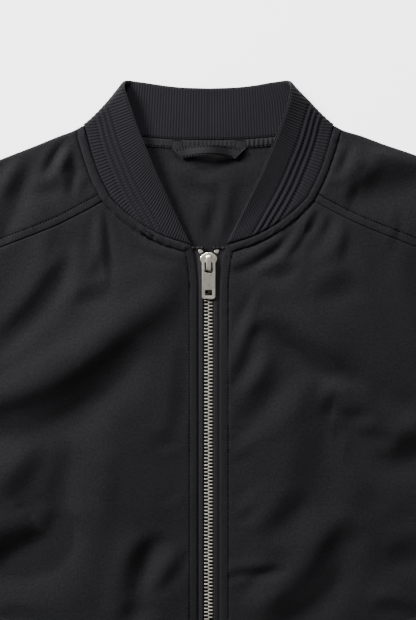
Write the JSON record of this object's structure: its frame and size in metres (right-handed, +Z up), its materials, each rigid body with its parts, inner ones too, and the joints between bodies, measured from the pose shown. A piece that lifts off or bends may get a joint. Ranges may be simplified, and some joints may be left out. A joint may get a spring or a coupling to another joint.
{
  "type": "bomber jacket",
  "caption": "Zip-front bomber jacket with rib collar, cuffs and hem, closed and laid flat on its back",
  "frame": {"origin": "on the ground under the middle of the laid-out jacket, below the back panel", "axes": "+X to the wearer's left, +Y from the hem to the collar, +Z up from the ground through the back and the fronts"},
  "size_m": [1.2874, 0.7242, 0.0162],
  "materials": {
    "cloth": "matte brushed cotton twill",
    "rib": "matte rib knit",
    "tape": "matte woven tape",
    "metal": "satin nickel"
  },
  "bodies": {
    "jacket": {"back": "cloth", "front_left": "cloth", "front_right": "cloth", "yoke_left": "cloth", "yoke_right": "cloth", "sleeve_left": "cloth", "sleeve_right": "cloth", "pocket_welt_left": "cloth", "pocket_welt_right": "cloth", "collar_rib": "rib", "cuff_left": "rib", "cuff_right": "rib", "hem_rib": "rib", "neck_tape": "tape", "hanger_loop": "tape", "zip_tape_left": "tape", "zip_tape_right": "tape", "zip_chain": "metal", "zip_box": "metal", "zip_slider": "metal", "zip_stop_left": "metal", "zip_stop_right": "metal"},
    "pull_tab": {"zip_pull": "metal"}
  },
  "joints": [
    {"name": "pull_tab_hinge", "type": "hinge", "parent": "jacket", "child": "pull_tab", "pos_m": [0, 0.19874, 0.0079], "axis": [-1, 0, 0], "range_deg": [0, 170]}
  ]
}
